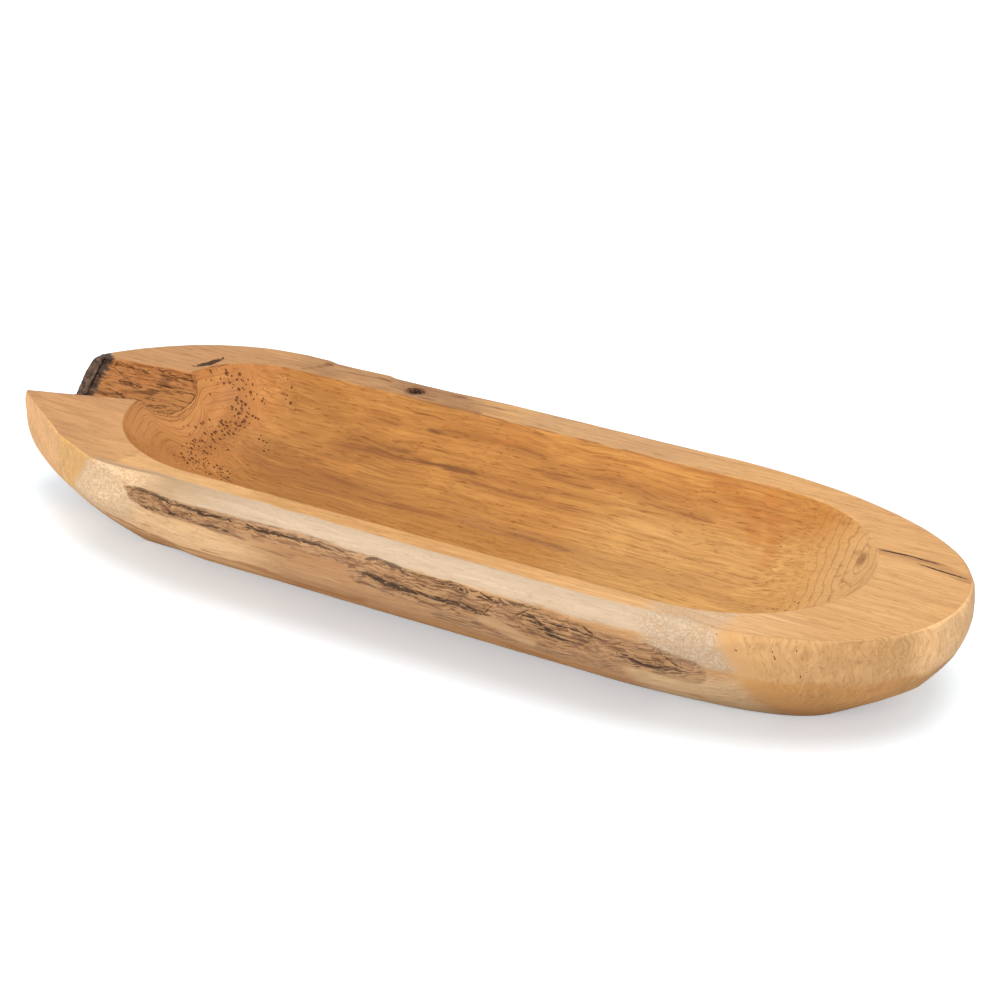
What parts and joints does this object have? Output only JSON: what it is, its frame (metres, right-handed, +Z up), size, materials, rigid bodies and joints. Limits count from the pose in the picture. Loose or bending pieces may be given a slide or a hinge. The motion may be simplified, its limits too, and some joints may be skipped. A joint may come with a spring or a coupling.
{
  "type": "wooden centerpiece bowl",
  "caption": "Long shallow bowl carved from one split branch, with a smooth hollow, a wide rim, a forked notch at one end, remnants of bark and dead knots, standing on a flat base.",
  "frame": {"origin": "under the middle of the bowl's length and width, on the surface that it stands on", "axes": "+X along the bowl from the forked end to the round end, +Y from the front flank with the bark to the back, +Z up through the open top"},
  "size_m": [0.614, 0.21, 0.072],
  "materials": {
    "teak": "sanded and lightly oiled",
    "bark": "rough dark bark",
    "weathered_fibre": "rough fibrous inner bark",
    "knot_wood": "dark dry knot wood"
  },
  "bodies": {
    "root": {"bowl_body": "teak", "bark_end_cap": "bark", "flank_bark_upper_strip": "weathered_fibre", "flank_bark_middle_patch": "weathered_fibre", "flank_bark_lower_patch": "weathered_fibre", "flank_bark_right_tip": "weathered_fibre", "end_wall_dead_knot": "knot_wood", "back_rim_dead_knot": "knot_wood", "limb_pin_knot": "knot_wood"}
  },
  "joints": []
}
